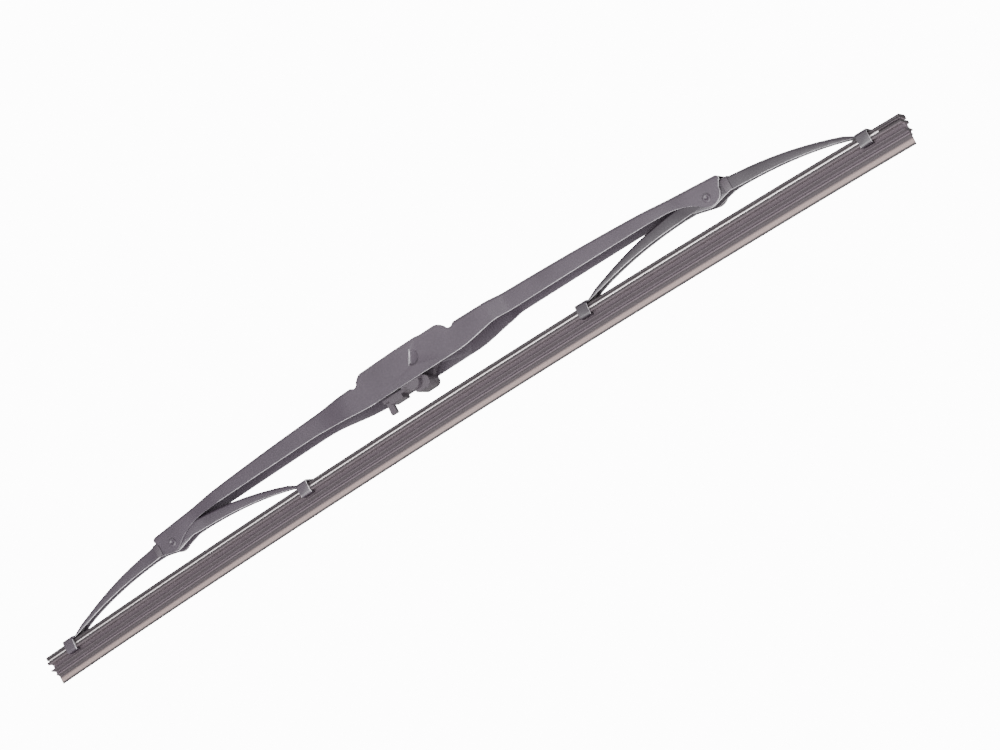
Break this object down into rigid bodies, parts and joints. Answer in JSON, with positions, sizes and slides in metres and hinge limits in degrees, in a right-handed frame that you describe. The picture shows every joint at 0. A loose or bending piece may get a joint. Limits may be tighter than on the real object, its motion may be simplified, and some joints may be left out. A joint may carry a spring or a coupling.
{
  "type": "wiper blade",
  "caption": "Windscreen wiper blade: folded steel bow with rocking secondary bows, claws gripping a rubber squeegee, and a plastic clip for a hook arm.",
  "frame": {"origin": "centre of the barrel in the arm clip, on the clip's pivot axis, midway across the blade", "axes": "+X runs along the blade towards its long arm (the right end in the picture), +Y runs across it to the side away from the camera, along the arm hook's barrel, and +Z points from the rubber lip to the bow's back, away from the glass"},
  "size_m": [0.4508, 0.019, 0.0423],
  "materials": {
    "bow_paint": "satin black powder coat on pressed steel sheet, worn bright along the cut edges",
    "dark_plastic": "moulded black acetal, fine matte grain",
    "rubber": "extruded natural rubber, dull with a graphite coat on the lip",
    "spring_steel": "rolled bright stainless spring strip"
  },
  "bodies": {
    "carrier": {"main_bow": "bow_paint", "left_rivet": "bow_paint", "right_rivet": "bow_paint", "left_bush": "dark_plastic", "right_bush": "dark_plastic", "squeegee": "rubber", "front_spring_strip": "spring_steel", "rear_spring_strip": "spring_steel"},
    "left_link": {"left_bow": "bow_paint"},
    "right_link": {"right_bow": "bow_paint"},
    "arm_adapter": {"arm_clip": "dark_plastic"}
  },
  "joints": [
    {"name": "left_bow_pivot", "type": "hinge", "parent": "carrier", "child": "left_link", "pos_m": [-0.1412, 0, -0.00991], "axis": [0, 1, 0], "range_deg": [-5, 5], "deforming": ["squeegee", "front_spring_strip", "rear_spring_strip"]},
    {"name": "right_bow_pivot", "type": "hinge", "parent": "carrier", "child": "right_link", "pos_m": [0.1432, 0, -0.00991], "axis": [0, 1, 0], "range_deg": [-5, 5], "deforming": ["squeegee", "front_spring_strip", "rear_spring_strip"]},
    {"name": "arm_clip_pivot", "type": "hinge", "parent": "carrier", "child": "arm_adapter", "pos_m": [0, 0, 0], "axis": [0, 1, 0], "range_deg": [-12, 12]}
  ]
}
